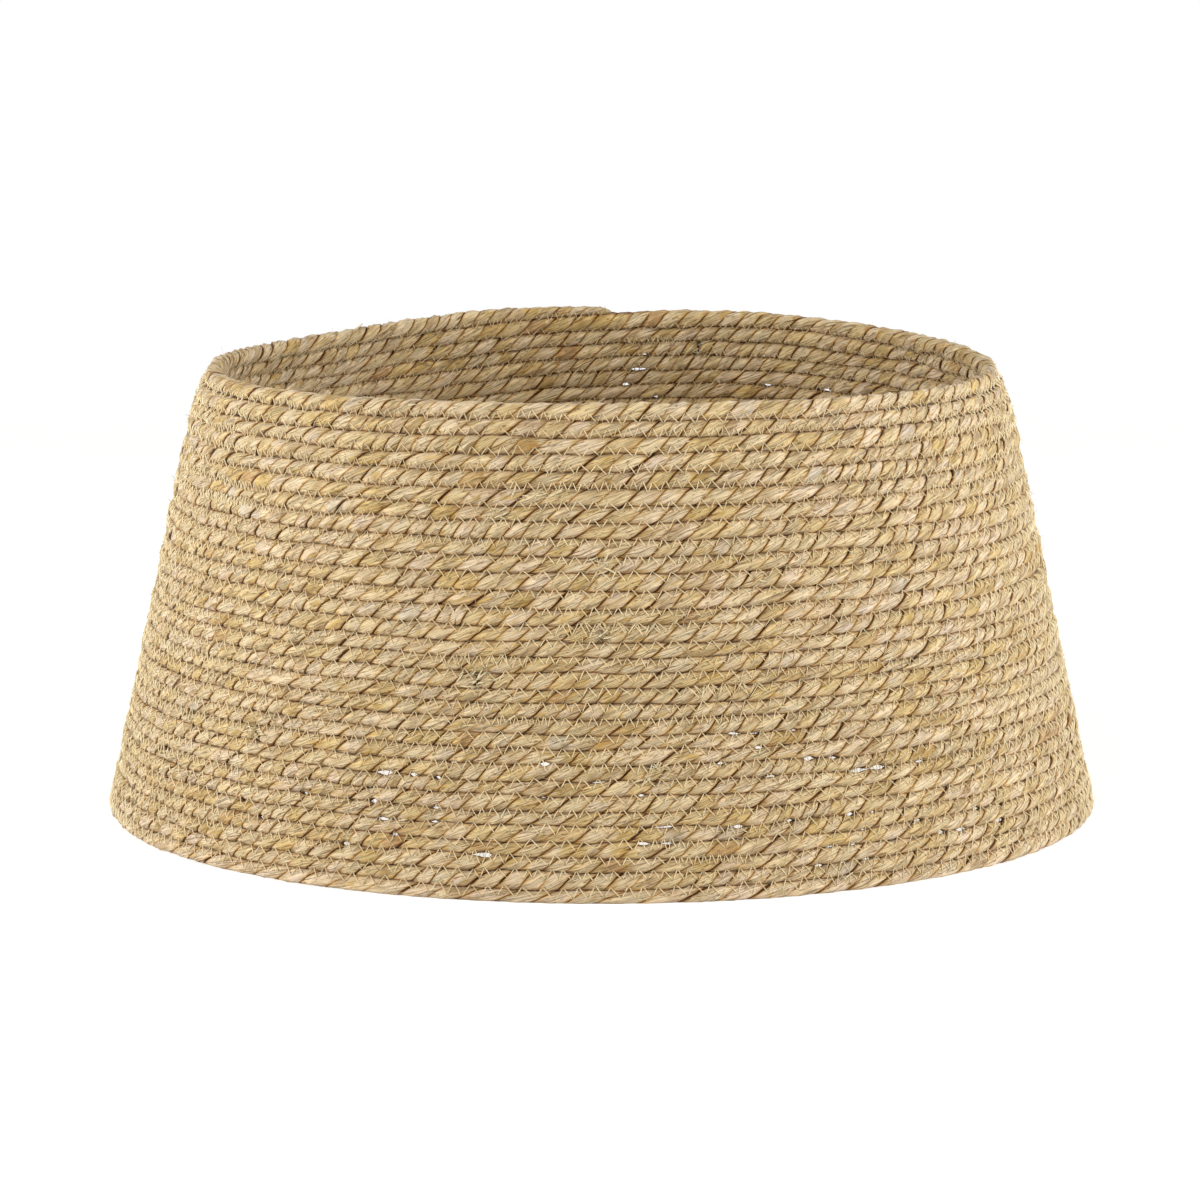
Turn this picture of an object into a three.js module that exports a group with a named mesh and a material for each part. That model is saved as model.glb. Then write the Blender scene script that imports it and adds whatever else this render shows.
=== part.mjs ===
import * as THREE from 'three';

// Tree collar basket: a bottomless cone of seagrass rope, wound in one climbing spiral and sewn
// course to course. Millimetres, +Z up, origin on the floor at the middle, -Y is the front.
// The rope is laid clockwise seen from above. Places along it are counted in turns, from the
// point of the foot where the rope first has its full thickness.

const BASE_DIAMETER = 600;
const RIM_DIAMETER = 485;
const COURSES = 31;

// The upper courses are of a slightly thicker rope than the lower ones.
const LOWER_COURSES = 17;
const LOWER_PITCH = 8.45;
const UPPER_PITCH = 9.45;
const LOWER_ROPE_WIDTH = 9.3;
const UPPER_ROPE_WIDTH = 10.1;
const COURSE_GAP = 0.5;

// The foot is pressed flat, this deep into the rope. The rim dips at its two sides, and sags
// once more at the back left.
const FOOT_FLAT_DEPTH = 0.93;
const RIM_DIP = 7;
const RIM_SAG = 4.5;
const RIM_SAG_AZIMUTH = 138;
const RIM_SAG_REACH_DEGREES = 40;

// The rim is drawn in a little at its two sides, where its last courses also turn inwards.
const RIM_NARROWING = 2;
const RIM_TURN_IN = 6;
const RIM_TURN_IN_DEPTH = 32;

// A course lies level all round, and climbs to the next level in a short stretch at the back.
// The rope starts and finishes in that stretch, tapered to fit under or over its neighbour.
const STEPS_PER_TURN = 24;
const CLIMB_DEGREES = 60;
const CLIMB_END_AZIMUTH = 60;
const START_SHARE_OF_CLIMB = 0.75;
const FINISH_SHARE_OF_CLIMB = 0.528;

// Where one length of rope ends and the next begins, as shares of the whole winding. The third,
// fourth, fifth and last show on the real collar, and the others lie round the back.
const ROPE_JOIN_SHARES = [0.099, 0.218, 0.308, 0.466, 0.562, 0.68, 0.798, 0.902];
const ROPE_JOIN_GAP = 0.4;

// The zigzag seam bridges each groove from shoulder to shoulder: the needle thread outside, the
// bobbin thread inside. Both were renewed once, at the over-sewn patch on the front.
const THREAD_CHANGE_SHARE = 0.466;
const THREAD_END_GAP = 0.4;
const THREAD_CLEARANCE = 0.3;
const SEAM_THICKNESS = 0.8;
const SEAM_REACH_SHARE = 0.6;

const ROPE_COLOUR = [0.76, 0.64, 0.44];
const ROPE_ROUGHNESS = 0.85;
const THREAD_COLOUR = [0.89, 0.8, 0.6];
const THREAD_ROUGHNESS = 0.6;

// An end takes the place of a step that lies closer to it than this share of a step. Points are
// set along each side of a section to measure the gap between neighbouring turns.
const LEAST_STEP_SHARE = 0.05;
const GAUGE_POINTS = 12;

const DEGREES_PER_TURN = 360;
const CLIMB_SHARE = CLIMB_DEGREES / DEGREES_PER_TURN;
const ROPE_START = -CLIMB_SHARE * (1 - START_SHARE_OF_CLIMB);
const ROPE_FINISH = COURSES - CLIMB_SHARE * (1 - FINISH_SHARE_OF_CLIMB);
const STACK_HEIGHT = LOWER_COURSES * LOWER_PITCH + (COURSES - LOWER_COURSES) * UPPER_PITCH;
const HEIGHT = STACK_HEIGHT - COURSE_GAP - FOOT_FLAT_DEPTH;

function azimuth(turn) {
  return THREE.MathUtils.degToRad(CLIMB_END_AZIMUTH - DEGREES_PER_TURN * turn);
}

// The place of a join, which falls on the nearest step.
function joinTurn(share) {
  return Math.round(share * COURSES * STEPS_PER_TURN) / STEPS_PER_TURN;
}

// The level of the rope's underside, counted in courses: a whole number where it lies level.
function level(turn) {
  const whole = Math.floor(turn);
  const climbed = THREE.MathUtils.smoothstep(turn - whole, 1 - CLIMB_SHARE, 1);
  return THREE.MathUtils.clamp(whole + climbed, 0, COURSES);
}

function rimDrop(angle) {
  const sagCentre = THREE.MathUtils.degToRad(RIM_SAG_AZIMUTH);
  const fromSag = Math.acos(THREE.MathUtils.clamp(Math.cos(angle - sagCentre), -1, 1));
  const reach = THREE.MathUtils.degToRad(RIM_SAG_REACH_DEGREES);
  const sag = RIM_SAG * (1 - THREE.MathUtils.smoothstep(fromSag, 0, reach));
  return RIM_DIP * Math.cos(angle) ** 2 + sag;
}

// The height of a level, which drops with the rim in proportion to its height.
function levelHeight(courses, angle) {
  const lower = Math.min(courses, LOWER_COURSES) * LOWER_PITCH;
  const upper = Math.max(courses - LOWER_COURSES, 0) * UPPER_PITCH;
  return (lower + upper) * (1 - rimDrop(angle) / STACK_HEIGHT) - FOOT_FLAT_DEPTH;
}

function ropeWidth(courses) {
  const share = THREE.MathUtils.clamp(courses - (LOWER_COURSES - 1), 0, 1);
  return THREE.MathUtils.lerp(LOWER_ROPE_WIDTH, UPPER_ROPE_WIDTH, share);
}

// The radius of the wall's middle at a height. The rim's diameter is taken from front to back.
function wallRadius(height, angle) {
  const foot = (BASE_DIAMETER - LOWER_ROPE_WIDTH) / 2;
  const rim = (RIM_DIAMETER - UPPER_ROPE_WIDTH) / 2;
  const share = height / HEIGHT;
  const turned = THREE.MathUtils.smoothstep(height, HEIGHT - RIM_TURN_IN_DEPTH, HEIGHT);
  const drawnIn = (RIM_NARROWING * share + RIM_TURN_IN * turned) * Math.cos(angle) ** 2;
  return THREE.MathUtils.lerp(foot, rim, share) - drawnIn;
}

// One cut through the rope: a hexagon lying on a flat, as radius and height pairs, from the
// outer corner up over the top. Where it meets the floor, its underside is cut off there.
function ropeSection(turn) {
  const angle = azimuth(turn);
  const courses = level(turn);
  const under = levelHeight(courses, angle);
  const over = levelHeight(level(turn + 1), angle) - COURSE_GAP;
  const fullHeight = levelHeight(courses + 1, angle) - COURSE_GAP - under;
  const width = ropeWidth(courses) * ((over - under) / fullHeight);
  const middle = (under + over) / 2;
  const radius = wallRadius(middle, angle);
  const corner = width / 2;
  const flat = corner / 2;
  const sole = Math.max(under, 0);
  const soleFlat = THREE.MathUtils.mapLinear(sole, under, middle, flat, corner);
  return [
    [radius + corner, middle],
    [radius + flat, over],
    [radius - flat, over],
    [radius - corner, middle],
    [radius - soleFlat, sole],
    [radius + soleFlat, sole],
  ];
}

// A point a share of the way along a rope's shoulder, lifted off it to the given side.
function offShoulder(edge, corner, share, side, distance) {
  const run = [corner[0] - edge[0], corner[1] - edge[1]];
  const lift = (side * distance) / Math.hypot(run[0], run[1]);
  return [edge[0] + run[0] * share + run[1] * lift, edge[1] + run[1] * share - run[0] * lift];
}

// One cut through a seam: a flat triangle that bridges the groove between two courses and keeps
// clear of the rope edges between them. Side is 1 outside the wall and -1 inside.
function seamSection(turn, side) {
  const below = ropeSection(turn);
  const above = ropeSection(turn + 1);
  const [belowEdge, belowCorner] = side > 0 ? [below[1], below[0]] : [below[2], below[3]];
  const [aboveEdge, aboveCorner] = side > 0 ? [above[5], above[0]] : [above[4], above[3]];
  const low = offShoulder(belowEdge, belowCorner, SEAM_REACH_SHARE, -side, THREAD_CLEARANCE);
  const high = offShoulder(aboveEdge, aboveCorner, SEAM_REACH_SHARE, side, THREAD_CLEARANCE);
  const bridge = Math.hypot(high[0] - low[0], high[1] - low[1]);
  const out = [(side * (high[1] - low[1])) / bridge, (-side * (high[0] - low[0])) / bridge];
  const clear = [belowEdge, aboveEdge].map(([r, z]) => (low[0] - r) * out[0] + (low[1] - z) * out[1]);
  const shift = Math.max(THREAD_CLEARANCE - Math.min(...clear), 0);
  const move = ([r, z], distance) => [r + out[0] * distance, z + out[1] * distance];
  const middle = [(low[0] + high[0]) / 2, (low[1] + high[1]) / 2];
  const crest = move(middle, shift + SEAM_THICKNESS);
  const ends = [move(low, shift), move(high, shift)];
  return side > 0 ? [ends[0], crest, ends[1]] : [ends[0], ends[1], crest];
}

// A section as points in space. Between two steps it lies on the straight facets that join them.
function ring(sectionAt, turn) {
  const step = turn * STEPS_PER_TURN;
  const before = Math.floor(step);
  const placed = [before, before + 1].map((whole) => {
    const angle = azimuth(whole / STEPS_PER_TURN);
    const section = sectionAt(whole / STEPS_PER_TURN);
    return section.map(([r, z]) => new THREE.Vector3(r * Math.cos(angle), r * Math.sin(angle), z));
  });
  return placed[0].map((point, i) => point.lerp(placed[1][i], step - before));
}

// The rings of a tube between two places: one at each end and one at each step between them.
function ringsBetween(sectionAt, from, to) {
  const rings = [ring(sectionAt, from)];
  const first = Math.ceil(from * STEPS_PER_TURN + LEAST_STEP_SHARE);
  const last = Math.floor(to * STEPS_PER_TURN - LEAST_STEP_SHARE);
  for (let step = first; step <= last; step += 1) {
    rings.push(ring(sectionAt, step / STEPS_PER_TURN));
  }
  rings.push(ring(sectionAt, to));
  return rings;
}

// One unbroken closed tube through its rings, with a flat face on each end.
function tubeGeometry(rings) {
  const sides = rings[0].length;
  const indices = [];
  for (let i = 0; i + 1 < rings.length; i += 1) {
    for (let j = 0; j < sides; j += 1) {
      const next = (j + 1) % sides;
      const here = i * sides;
      const ahead = here + sides;
      indices.push(here + j, here + next, ahead + next);
      indices.push(here + j, ahead + next, ahead + j);
    }
  }
  const end = (rings.length - 1) * sides;
  for (let j = 1; j + 1 < sides; j += 1) {
    indices.push(0, j + 1, j);
    indices.push(end, end + j, end + j + 1);
  }
  const geometry = new THREE.BufferGeometry().setFromPoints(rings.flat());
  geometry.setIndex(indices);
  geometry.computeVertexNormals();
  return geometry;
}

// The least distance between two neighbouring turns of one tube, measured on points round their
// sections, or infinity where the tube is too short to lie beside itself.
function leastGapToItself(sectionAt, from, to) {
  const outline = (turn) => ring(sectionAt, turn).flatMap((point, i, corners) => {
    const next = corners[(i + 1) % corners.length];
    return Array.from({ length: GAUGE_POINTS }, (_, k) => point.clone().lerp(next, k / GAUGE_POINTS));
  });
  let least = Infinity;
  const last = Math.floor((to - 1) * STEPS_PER_TURN);
  for (let step = Math.ceil(from * STEPS_PER_TURN); step <= last; step += 1) {
    const over = outline(step / STEPS_PER_TURN + 1);
    for (const point of outline(step / STEPS_PER_TURN)) {
      least = Math.min(least, ...over.map((other) => point.distanceTo(other)));
    }
  }
  return least;
}

function inTurns(length, turn) {
  const angle = azimuth(turn);
  return length / (2 * Math.PI * wallRadius(levelHeight(level(turn), angle), angle));
}

function tube(name, sectionAt, from, to, material) {
  const least = leastGapToItself(sectionAt, from, to);
  const told = Number.isFinite(least) ? `${least.toFixed(2)} mm` : 'under one turn';
  console.log(`${name}: ${(to - from).toFixed(2)} turns, least gap to itself ${told}`);
  const mesh = new THREE.Mesh(tubeGeometry(ringsBetween(sectionAt, from, to)), material);
  mesh.name = name;
  return mesh;
}

function material(colour, roughness) {
  const color = new THREE.Color().setRGB(...colour, THREE.SRGBColorSpace);
  return new THREE.MeshStandardMaterial({ color, roughness, metalness: 0 });
}

function ropeLengths() {
  const group = new THREE.Group();
  const ends = [ROPE_START, ...ROPE_JOIN_SHARES.map(joinTurn), ROPE_FINISH];
  const lengths = ends.length - 1;
  for (let i = 0; i < lengths; i += 1) {
    const place = i === 0 ? '_base' : i === lengths - 1 ? '_rim' : '';
    const from = ends[i] + (i > 0 ? inTurns(ROPE_JOIN_GAP, ends[i]) / 2 : 0);
    const to = ends[i + 1] - (i < lengths - 1 ? inTurns(ROPE_JOIN_GAP, ends[i + 1]) / 2 : 0);
    const name = `rope_length_${i + 1}${place}`;
    group.add(tube(name, ropeSection, from, to, material(ROPE_COLOUR, ROPE_ROUGHNESS)));
  }
  return group;
}

// A seam runs a course below the rope that it sews on, so it ends one turn before the rope does.
function seamThreads(name, side) {
  const group = new THREE.Group();
  const sectionAt = (turn) => seamSection(turn, side);
  const change = joinTurn(THREAD_CHANGE_SHARE);
  const halfGap = inTurns(THREAD_END_GAP, change) / 2;
  const runs = [
    ['lower', ROPE_START, change - halfGap],
    ['upper', change + halfGap, ROPE_FINISH - 1],
  ];
  for (const [place, from, to] of runs) {
    const thread = material(THREAD_COLOUR, THREAD_ROUGHNESS);
    group.add(tube(`${name}_${place}`, sectionAt, from, to, thread));
  }
  return group;
}

const collar = new THREE.Group();
collar.add(ropeLengths());
collar.add(seamThreads('needle_thread', 1));
collar.add(seamThreads('bobbin_thread', -1));

export default collar;
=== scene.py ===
import math

import bpy
import numpy as np
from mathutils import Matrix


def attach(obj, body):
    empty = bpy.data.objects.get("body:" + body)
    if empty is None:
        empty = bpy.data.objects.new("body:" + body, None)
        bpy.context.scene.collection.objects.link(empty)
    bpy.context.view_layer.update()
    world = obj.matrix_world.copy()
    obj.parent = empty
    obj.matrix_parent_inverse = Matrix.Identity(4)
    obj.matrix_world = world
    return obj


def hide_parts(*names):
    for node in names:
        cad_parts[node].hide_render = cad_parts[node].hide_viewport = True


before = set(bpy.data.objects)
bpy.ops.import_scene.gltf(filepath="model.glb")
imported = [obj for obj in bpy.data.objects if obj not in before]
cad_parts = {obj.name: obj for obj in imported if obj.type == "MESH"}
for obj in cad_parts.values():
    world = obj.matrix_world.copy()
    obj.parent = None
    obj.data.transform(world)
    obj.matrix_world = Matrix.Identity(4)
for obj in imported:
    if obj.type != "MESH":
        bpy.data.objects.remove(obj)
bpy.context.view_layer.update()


# THE ROPE
# Two strands of dried seagrass blades laid together, wound in one climbing spiral of 31 courses.
# It comes in nine lengths, and each is made as the two strands that replace its solid. Metres,
# with places along the winding counted in turns, as the solids have them.

BASE_DIAMETER = 0.600
RIM_DIAMETER = 0.485
COURSES = 31
LOWER_COURSES = 17
LOWER_PITCH = 0.00845
UPPER_PITCH = 0.00945
LOWER_ROPE_WIDTH = 0.0093
UPPER_ROPE_WIDTH = 0.0101
COURSE_GAP = 0.0005
FOOT_FLAT_DEPTH = 0.00093
RIM_DIP = 0.007
RIM_SAG = 0.0045
RIM_SAG_AZIMUTH = math.radians(138)
RIM_SAG_REACH = math.radians(40)
RIM_NARROWING = 0.002
RIM_TURN_IN = 0.006
RIM_TURN_IN_DEPTH = 0.032

# Each turn climbs one course in its last sixth, and the rope starts and ends part way up a climb.
CLIMB_SHARE = 60 / 360
CLIMB_END_AZIMUTH = 60
START_ALONG_CLIMB = 0.75
FINISH_ALONG_CLIMB = 0.528
ROPE_START = -CLIMB_SHARE * (1 - START_ALONG_CLIMB)
ROPE_FINISH = COURSES - CLIMB_SHARE * (1 - FINISH_ALONG_CLIMB)
ROPE_JOIN_SHARES = [0.099, 0.218, 0.308, 0.466, 0.562, 0.68, 0.798, 0.902]
JOIN_STEPS_PER_TURN = 24

STACK_HEIGHT = LOWER_COURSES * LOWER_PITCH + (COURSES - LOWER_COURSES) * UPPER_PITCH
HEIGHT = STACK_HEIGHT - COURSE_GAP - FOOT_FLAT_DEPTH
FOOT_RADIUS = (BASE_DIAMETER - LOWER_ROPE_WIDTH) / 2
RIM_RADIUS = (RIM_DIAMETER - UPPER_ROPE_WIDTH) / 2
WALL_LEAN = math.atan((FOOT_RADIUS - RIM_RADIUS) / HEIGHT)

RINGS_PER_TURN = 900
STRAND_CORNERS = np.radians([0, 28, 56, 84, 113, 131, -131, -113, -84, -56, -28])

# The lay: the length in which the strands turn once, how it changes, and the turn of the blades
# along the rope, in radians a metre.
LAY_LENGTH = 0.0275
LAY_MARGIN = 0.05
FOOT_LAY_STRETCH = 0.5
FOOT_LAY_END = (0.9, 1.1)
SLOW_LAY_CHANGE = 0.22
QUICK_LAY_CHANGE = 0.3
STRAND_SLIP = 0.2
BLADE_TWIST = -30.0

# A strand's section, in shares of half the rope's width: an egg with a flat back, which swells and
# folds along the rope. Folds are given by their number round the strand, their depth, how far they
# drift, how often in a turn, and a seed.
STRAND_OFFSET = 0.39
STRAND_DEPTH = 0.63
STRAND_BACK = -0.02
STRAND_BREADTH = 0.88
STRAND_EGG = 0.36
SLOW_SWELL = 0.09
QUICK_SWELL = 0.1
SWELL_UPWARD = 0.5
FOLDS = [(2, 0.045, 5, 60, 51), (3, 0.035, 6, 80, 53), (5, 0.025, 7, 100, 55)]

# How the strands are pressed: together by the lay, flat on the face, and by the courses beside.
SQUARENESS = 2.6
STRAND_FILL = 1.03
SQUASH_DEPTH = 0.2
SQUASH_SPREAD = 0.42
FACE_START = 0.84
FACE_ROOM = 0.14
PRESS_START = 0.92
PRESS_ROOM = 0.15
RIM_FULLNESS = 1.1
RIM_PASSAGE = 0.04
FULLEST_WIDTH = 1.1
ROPE_SWAY = 0.0004

# The grooves wave, but not at the foot and rim, and some gape. A slit's places are in turns.
GROOVE_WAVE = 0.0007
FIRST_WAVE = -0.1
LAST_WAVE = COURSES - 1.2
WAVE_FADE = 8
SLIT_HEIGHT = 0.0028
SLIT_RARITY = (0.7, 0.94)
SLIT_CLUSTERS = (-0.5, 0.3)
LOWER_SLITS = (0.5, 2, 9, 13)
UPPER_SLITS = (20, 23, 26, 29)
UPPER_SLITS_BEHIND = (0.5, 0.9)
SPARE_TURNS = 2

# Where the corners of the tubes' end caps lie in the layout of their skins.
CAPS_IN_LAYOUT = 0.001


def smooth_step(value, low, high):
    share = np.clip((value - low) / (high - low), 0, 1)
    return share * share * (3 - 2 * share)


def azimuth(turn):
    return np.radians(CLIMB_END_AZIMUTH - 360 * turn)


def level(turn):
    whole = np.floor(turn)
    return np.clip(whole + smooth_step(turn - whole, 1 - CLIMB_SHARE, 1), 0, COURSES)


def level_height(courses, angle):
    lower = np.minimum(courses, LOWER_COURSES) * LOWER_PITCH
    upper = np.maximum(courses - LOWER_COURSES, 0) * UPPER_PITCH
    from_sag = np.arccos(np.cos(angle - RIM_SAG_AZIMUTH))
    drop = RIM_DIP * np.cos(angle) ** 2 + RIM_SAG * (1 - smooth_step(from_sag, 0, RIM_SAG_REACH))
    return (lower + upper) * (1 - drop / STACK_HEIGHT) - FOOT_FLAT_DEPTH


def wall_radius(height, angle):
    turned = smooth_step(height, HEIGHT - RIM_TURN_IN_DEPTH, HEIGHT)
    drawn_in = (RIM_NARROWING * height / HEIGHT + RIM_TURN_IN * turned) * np.cos(angle) ** 2
    return FOOT_RADIUS + (RIM_RADIUS - FOOT_RADIUS) * height / HEIGHT - drawn_in


def wander(turn, per_turn, seed):
    """Smooth variation between -1 and 1 along the winding, with so many random values to a turn."""
    knots = np.random.default_rng(seed).uniform(-1, 1, int((COURSES + 2 * SPARE_TURNS) * per_turn))
    place = (np.asarray(turn) + SPARE_TURNS) * per_turn
    first = np.floor(place).astype(int)
    share = place - first
    share = share * share * (3 - 2 * share)
    return knots[first] * (1 - share) + knots[first + 1] * share


def groove_rise(turn):
    """How far the groove above a place on the winding lies off its level, which makes it wavy."""
    inside = np.clip(np.minimum(turn - FIRST_WAVE, LAST_WAVE - turn) * WAVE_FADE, 0, 1)
    slow = GROOVE_WAVE * wander(turn, per_turn=30, seed=11)
    quick = GROOVE_WAVE * wander(turn, per_turn=90, seed=12)
    return inside * (slow + quick)


def between(turn, rise_start, rise_end, fall_start, fall_end):
    return smooth_step(turn, rise_start, rise_end) * (1 - smooth_step(turn, fall_start, fall_end))


def slit(turn):
    """How far the groove above a place on the winding gapes: low down, and high up at the back."""
    loose = smooth_step(wander(turn, per_turn=230, seed=15), *SLIT_RARITY)
    loose = loose * smooth_step(wander(turn, per_turn=17, seed=16), *SLIT_CLUSTERS)
    lower = between(turn, *LOWER_SLITS)
    behind = between(turn, *UPPER_SLITS) * smooth_step(np.sin(azimuth(turn)), *UPPER_SLITS_BEHIND)
    return SLIT_HEIGHT * loose * np.maximum(lower, behind)


def rope_at(turn):
    """The rope's middle, and half its height along the wall and half its width across it."""
    angle = azimuth(turn)
    under = level_height(level(turn), angle) + groove_rise(turn - 1) + slit(turn - 1) / 2
    over = level_height(level(turn + 1), angle) + groove_rise(turn) - slit(turn) / 2
    whole = level_height(level(turn) + 1, angle) - level_height(level(turn), angle)
    share = np.clip(level(turn) - LOWER_COURSES + 1, 0, 1)
    width = LOWER_ROPE_WIDTH + (UPPER_ROPE_WIDTH - LOWER_ROPE_WIDTH) * share
    height = (under + over) / 2
    slow = ROPE_SWAY * wander(turn, per_turn=24, seed=13)
    quick = ROPE_SWAY * wander(turn, per_turn=70, seed=14)
    return {
        "angle": angle,
        "radius": wall_radius(height, angle),
        "height": height,
        "half_rise": (over - under) / 2 / math.cos(WALL_LEAN),
        "half_width": width / 2 * np.minimum((over - under) / whole, FULLEST_WIDTH),
        "push": slow + quick,
    }


# The lay of the rope: how far the two strands have turned about each other at each place. It
# falls along the winding, which makes the rope Z-laid.
lay_places = np.arange(ROPE_START - LAY_MARGIN, ROPE_FINISH + 1 + LAY_MARGIN, 1 / RINGS_PER_TURN)
lay_azimuth = azimuth(lay_places)
lay_radius = wall_radius(level_height(level(lay_places), lay_azimuth), lay_azimuth)
run_steps = 2 * math.pi * lay_radius / RINGS_PER_TURN
run_places = np.cumsum(run_steps)
lay_change = (SLOW_LAY_CHANGE * wander(lay_places, per_turn=14, seed=21)
              + QUICK_LAY_CHANGE * wander(lay_places, per_turn=64, seed=22))
foot_lay = FOOT_LAY_STRETCH * (1 - smooth_step(lay_places, *FOOT_LAY_END))
lay_lengths = LAY_LENGTH * (1 + lay_change + foot_lay)
lay_angles = -np.cumsum(run_steps * 2 * math.pi / lay_lengths)


def held_back(reach, start, room):
    """A reach that goes its own way up to a start, and past it never further than the room."""
    return np.where(reach < start, reach, start + room * np.tanh((reach - start) / room))


def no_course_above(turn):
    """Which places lie on the rim, 0 or 1 in a column, with a short passage between."""
    return smooth_step(turn, ROPE_FINISH - 1, ROPE_FINISH - 1 + RIM_PASSAGE)[:, None]


def strand_outline(turn, strand, around):
    """Cuts through a strand: rows of points as distances out of the wall and up along it."""
    rope = rope_at(turn)
    phase = np.interp(turn, lay_places, lay_angles) + strand * math.pi
    phase = phase + STRAND_SLIP * wander(turn, per_turn=110, seed=31 + strand)
    size = 1 + SLOW_SWELL * wander(turn, per_turn=60, seed=41 + strand)
    size = size + QUICK_SWELL * wander(turn, per_turn=150, seed=43 + strand)
    half = (rope["half_width"] * size)[:, None]
    run = np.interp(turn, lay_places, run_places)
    grain = phase[:, None] + around - BLADE_TWIST * run[:, None]
    fold = 1
    for blades, depth, drift, per_turn, seed in FOLDS:
        shifted = drift * wander(turn, per_turn, seed + strand)[:, None]
        fold = fold + depth * np.sin(blades * grain + shifted)

    # The strand's own egg, turned as far as the lay has turned at each place.
    far = half * np.maximum(STRAND_OFFSET + STRAND_DEPTH * np.cos(around), STRAND_BACK) * fold
    wide = half * STRAND_BREADTH * np.sin(around - STRAND_EGG * np.sin(around)) * fold
    turned = phase[:, None]
    out = far * np.cos(turned) - wide * np.sin(turned)
    up = (far * np.sin(turned) + wide * np.cos(turned)) / half

    # Both strands together fill the rope, so each is squared a little and pressed against the other.
    across = np.abs(out / half)
    square = np.hypot(across, up) / (across ** SQUARENESS + np.abs(up) ** SQUARENESS) ** (1 / SQUARENESS)
    out = out * square
    up = up * square * (1 + SWELL_UPWARD * (size - 1))[:, None]
    squash = STRAND_FILL * (1 + SQUASH_SPREAD * np.exp(-(out / half / SQUASH_DEPTH) ** 2))

    # The faces are flattened, and so is what lies on another course, as all but the rim's top does.
    out = np.sign(out) * held_back(np.abs(out) / half, FACE_START, FACE_ROOM) * half
    pressed = held_back(np.abs(up) * squash, PRESS_START, PRESS_ROOM)
    open_above = (up > 0) * no_course_above(turn)
    pressed = pressed * (1 - open_above) + np.abs(up) * RIM_FULLNESS * open_above
    return out + rope["push"][:, None], np.sign(up) * pressed * rope["half_rise"][:, None], grain, run


def on_wall(turn, out, up):
    """Points in space from distances out of the wall and up along it from the rope's middle."""
    rope = {name: value.reshape(value.shape + (1,) * (out.ndim - 1))
            for name, value in rope_at(turn).items()}
    radius = rope["radius"] + out * math.cos(WALL_LEAN) - up * math.sin(WALL_LEAN)
    height = rope["height"] + out * math.sin(WALL_LEAN) + up * math.cos(WALL_LEAN)
    return np.stack([radius * np.cos(rope["angle"]), radius * np.sin(rope["angle"]),
                     np.maximum(height, 0)], axis=-1)


def tubes(name, rings):
    """Closed tubes through rows of rings, pointed at both ends, their skins laid out in a square."""
    number, count, sides = rings.shape[:3]
    points = np.concatenate([rings.reshape(-1, 3), rings[:, [0, -1]].mean(axis=2).reshape(-1, 3)])
    which, ring, side = np.meshgrid(np.arange(number), np.arange(count - 1), np.arange(sides),
                                    indexing="ij")
    here = (which * count + ring) * sides
    after = (side + 1) % sides
    faces = np.stack([here + side, here + after, here + sides + after, here + sides + side], axis=-1)
    first = np.arange(number)[:, None] * count * sides + np.arange(sides)
    last = first + (count - 1) * sides
    tips = number * count * sides + 2 * np.arange(number)[:, None] + np.zeros(sides, int)
    start_caps = np.stack([tips, np.roll(first, -1, axis=1), first], axis=-1)
    end_caps = np.stack([tips + 1, last, np.roll(last, -1, axis=1)], axis=-1)
    corners = np.concatenate([faces.ravel(), start_caps.ravel(), end_caps.ravel()])
    quads = faces.size // 4
    triangles = 2 * sides * number
    mesh = bpy.data.meshes.new(name)
    mesh.vertices.add(len(points))
    mesh.vertices.foreach_set("co", points.ravel())
    mesh.loops.add(len(corners))
    mesh.loops.foreach_set("vertex_index", corners)
    mesh.polygons.add(quads + triangles)
    starts = np.concatenate([np.arange(quads) * 4, quads * 4 + np.arange(triangles) * 3])
    mesh.polygons.foreach_set("loop_start", starts)
    mesh.update(calc_edges=True)
    mesh.shade_smooth()

    middle = rings[0]
    length = np.linalg.norm(np.diff(middle.mean(axis=1), axis=0), axis=1).sum()
    girth = np.linalg.norm(middle[count // 2] - np.roll(middle[count // 2], 1, axis=0), axis=1).sum()
    rows = max(1, round(math.sqrt(length / girth)))
    per_row = math.ceil((count - 1) / rows)
    cells = math.ceil(math.sqrt(number))
    along = [(ring % per_row + step) / per_row for step in (0, 0, 1, 1)]
    up_row = [(ring // per_row + (side + step) / sides) / rows for step in (0, 1, 1, 0)]
    cell = np.stack([which % cells, which // cells], axis=-1)[..., None, :]
    layout = (cell + np.stack([np.stack(along, axis=-1), np.stack(up_row, axis=-1)], axis=-1)) / cells
    layout = np.concatenate([layout.reshape(-1, 2), np.full((3 * triangles, 2), CAPS_IN_LAYOUT)])
    mesh.uv_layers.new(name="OFBake").data.foreach_set("uv", layout.ravel())
    piece = bpy.data.objects.new(name, mesh)
    bpy.context.collection.objects.link(piece)
    return piece


def set_value(piece, name, values):
    kind = "FLOAT_VECTOR" if values.ndim == 2 else "FLOAT"
    layer = piece.data.attributes.new(name, kind, "POINT")
    layer.data.foreach_set("vector" if values.ndim == 2 else "value", values.ravel())


def colour(red, green, blue):
    """A colour written as it is seen, 0 to 255, as the light that a shader takes."""
    shares = [value / 255 for value in (red, green, blue)]
    return (*[s / 12.92 if s <= 0.04045 else ((s + 0.055) / 1.055) ** 2.4 for s in shares], 1.0)


def node(tree, kind, values=(), **settings):
    made = tree.nodes.new(kind)
    for name, value in settings.items():
        setattr(made, name, value)
    for name, value in dict(values).items():
        made.inputs[name].default_value = value
    return made


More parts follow.
